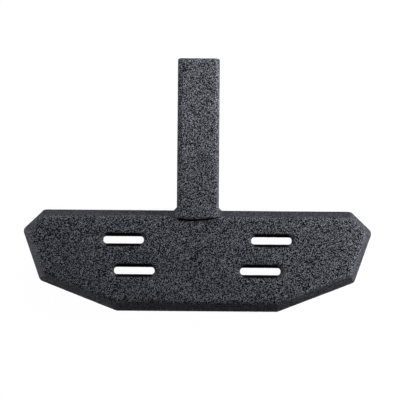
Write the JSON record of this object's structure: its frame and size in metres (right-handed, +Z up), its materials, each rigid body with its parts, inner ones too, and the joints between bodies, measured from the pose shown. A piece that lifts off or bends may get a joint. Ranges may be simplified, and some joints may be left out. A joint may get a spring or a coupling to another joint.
{
  "type": "hitch receiver step",
  "caption": "Folded steel step tray with sloping flanges and drawn slots, welded to a square shank tube that pins into a trailer hitch receiver, in a coarse black textured coat.",
  "frame": {"origin": "centre of the hitch pin hole, on the axis of the shank tube", "axes": "+X along the pin hole, to the right in the picture; +Y along the shank towards the vehicle; +Z up from the tread"},
  "size_m": [0.432, 0.309, 0.0508],
  "materials": {
    "textured_coat": "coarse grainy black protective coat, low sheen"
  },
  "bodies": {
    "root": {"step_tray": "textured_coat", "shank_tube": "textured_coat", "shank_weld": "textured_coat", "stiffener_rib_left": "textured_coat", "stiffener_rib_right": "textured_coat", "rib_welds": "textured_coat", "corner_welds": "textured_coat"}
  },
  "joints": []
}
